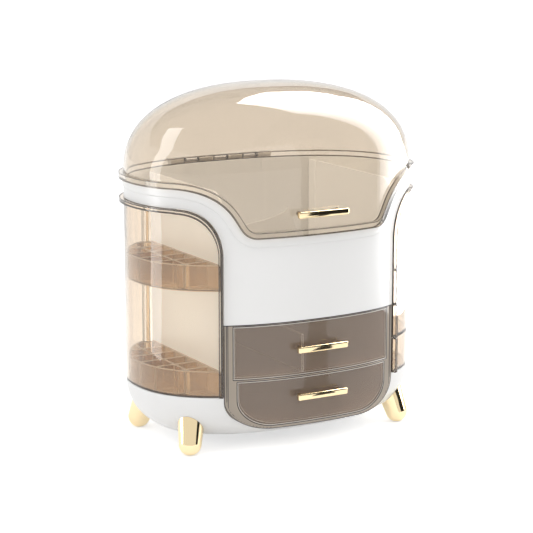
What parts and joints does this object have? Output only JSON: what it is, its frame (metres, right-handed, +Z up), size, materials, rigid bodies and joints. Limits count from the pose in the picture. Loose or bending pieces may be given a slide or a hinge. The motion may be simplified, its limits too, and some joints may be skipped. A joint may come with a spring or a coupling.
{
  "type": "makeup organizer",
  "caption": "Vanity organizer with a domed lift-up lid, bowed drawers, a swing-out lipstick door on one side and stacked swing-out trays on the other, on splayed feet.",
  "frame": {"origin": "on the surface it stands on, under the middle of the whole object's box", "axes": "+Z up, -Y out of the drawers, +X to the viewer's right when facing the drawers"},
  "size_m": [0.3092, 0.2203, 0.3542],
  "materials": {
    "white_plastic": "moulded, glossy white",
    "champagne_plastic": "clear, tinted champagne, polished",
    "smoke_plastic": "clear, tinted smoke brown, polished",
    "gold_plating": "polished pale gold plating",
    "steel": "drawn rod"
  },
  "bodies": {
    "body": {"shell_frame": "white_plastic", "base_bowl": "white_plastic", "base_deck": "white_plastic", "left_partition": "white_plastic", "right_partition": "white_plastic", "left_ceiling": "white_plastic", "right_ceiling": "white_plastic", "bin_floor": "white_plastic", "bin_divider": "white_plastic", "drawer_housing": "smoke_plastic", "foot_front_left": "gold_plating", "foot_front_right": "gold_plating", "foot_rear_left": "gold_plating", "foot_rear_right": "gold_plating", "hinge_pin": "steel", "left_pivot_rod": "champagne_plastic", "right_pivot_rod": "champagne_plastic"},
    "lid": {"lid": "champagne_plastic", "lid_handle": "gold_plating"},
    "upper_drawer": {"upper_drawer": "smoke_plastic", "upper_drawer_divider": "smoke_plastic", "upper_drawer_handle": "gold_plating"},
    "lower_drawer": {"lower_drawer": "smoke_plastic", "lower_drawer_divider": "smoke_plastic", "lower_drawer_handle": "gold_plating"},
    "left_unit": {"left_door": "champagne_plastic", "lower_lipstick_tray": "champagne_plastic", "upper_lipstick_tray": "champagne_plastic"},
    "right_tray_bottom": {"right_tray_bottom": "champagne_plastic"},
    "right_tray_lower_middle": {"right_tray_lower_middle": "champagne_plastic"},
    "right_tray_upper_middle": {"right_tray_upper_middle": "champagne_plastic"},
    "right_tray_top": {"right_tray_top": "champagne_plastic"}
  },
  "joints": [
    {"name": "lid_hinge", "type": "hinge", "parent": "body", "child": "lid", "pos_m": [0, 0.10685, 0.2648], "axis": [-1, 0, 0], "range_deg": [0, 100]},
    {"name": "upper_drawer_slide", "type": "slide", "parent": "body", "child": "upper_drawer", "axis": [0, -1, 0], "range_m": [0, 0.12]},
    {"name": "lower_drawer_slide", "type": "slide", "parent": "body", "child": "lower_drawer", "axis": [0, -1, 0], "range_m": [0, 0.12]},
    {"name": "left_unit_swing", "type": "hinge", "parent": "body", "child": "left_unit", "pos_m": [-0.1023, 0.07241, 0.0604], "axis": [0, 0, -1], "range_deg": [0, 90]},
    {"name": "right_tray_bottom_swing", "type": "hinge", "parent": "body", "child": "right_tray_bottom", "pos_m": [0.1023, 0.07241, 0.0604], "axis": [0, 0, 1], "range_deg": [0, 90]},
    {"name": "right_tray_lower_middle_swing", "type": "hinge", "parent": "body", "child": "right_tray_lower_middle", "pos_m": [0.1023, 0.07241, 0.09655], "axis": [0, 0, 1], "range_deg": [0, 90]},
    {"name": "right_tray_upper_middle_swing", "type": "hinge", "parent": "body", "child": "right_tray_upper_middle", "pos_m": [0.1023, 0.07241, 0.13135], "axis": [0, 0, 1], "range_deg": [0, 90]},
    {"name": "right_tray_top_swing", "type": "hinge", "parent": "body", "child": "right_tray_top", "pos_m": [0.1023, 0.07241, 0.16685], "axis": [0, 0, 1], "range_deg": [0, 90]}
  ]
}
